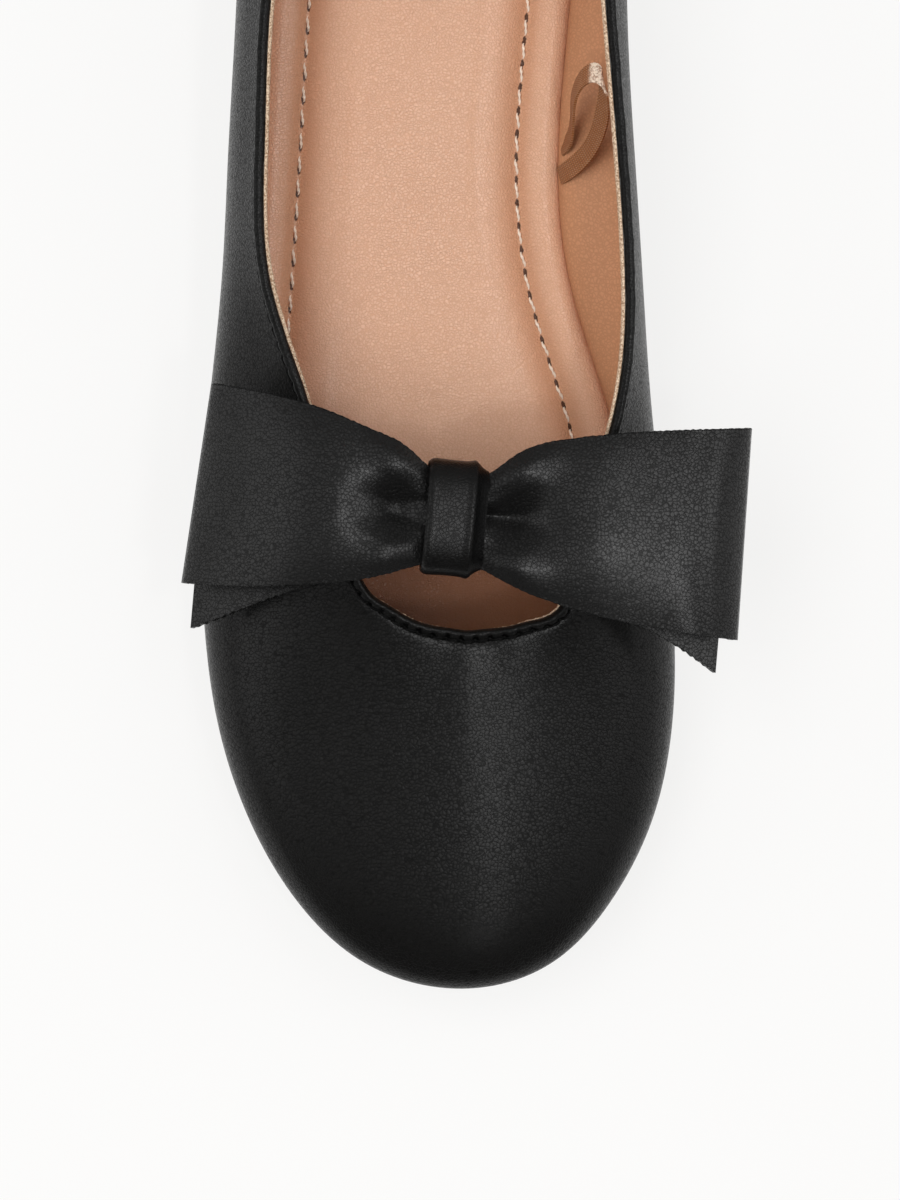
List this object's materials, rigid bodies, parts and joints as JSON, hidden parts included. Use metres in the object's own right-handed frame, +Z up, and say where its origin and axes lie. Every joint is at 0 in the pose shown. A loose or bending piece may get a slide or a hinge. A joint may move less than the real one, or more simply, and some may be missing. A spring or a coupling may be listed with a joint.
{
  "type": "ballet flat",
  "caption": "Right ballet flat with a round toe, bound topline, flat leather bow with a knot, padded insole, inner pull loop and low block heel.",
  "frame": {"origin": "on the floor under the middle of the heel, on the flat underside of the heel block", "axes": "+Z up from the floor, +Y from the toe towards the heel, +X towards the inner (medial) side of the foot"},
  "size_m": [0.1007, 0.25, 0.0621],
  "materials": {
    "black_leather": "satin, fine pebble grain",
    "bow_leather": "satin, fine pebble grain",
    "nude_leather": "soft satin",
    "black_rubber": "matt",
    "nude_tape": "satin woven tape"
  },
  "bodies": {
    "root": {"outsole": "black_rubber", "heel": "black_rubber", "insole": "nude_leather", "upper": "black_leather", "topline_binding": "black_leather", "bow_loops": "bow_leather", "bow_tails": "bow_leather", "bow_knot": "bow_leather", "pull_loop": "nude_tape"}
  },
  "joints": []
}
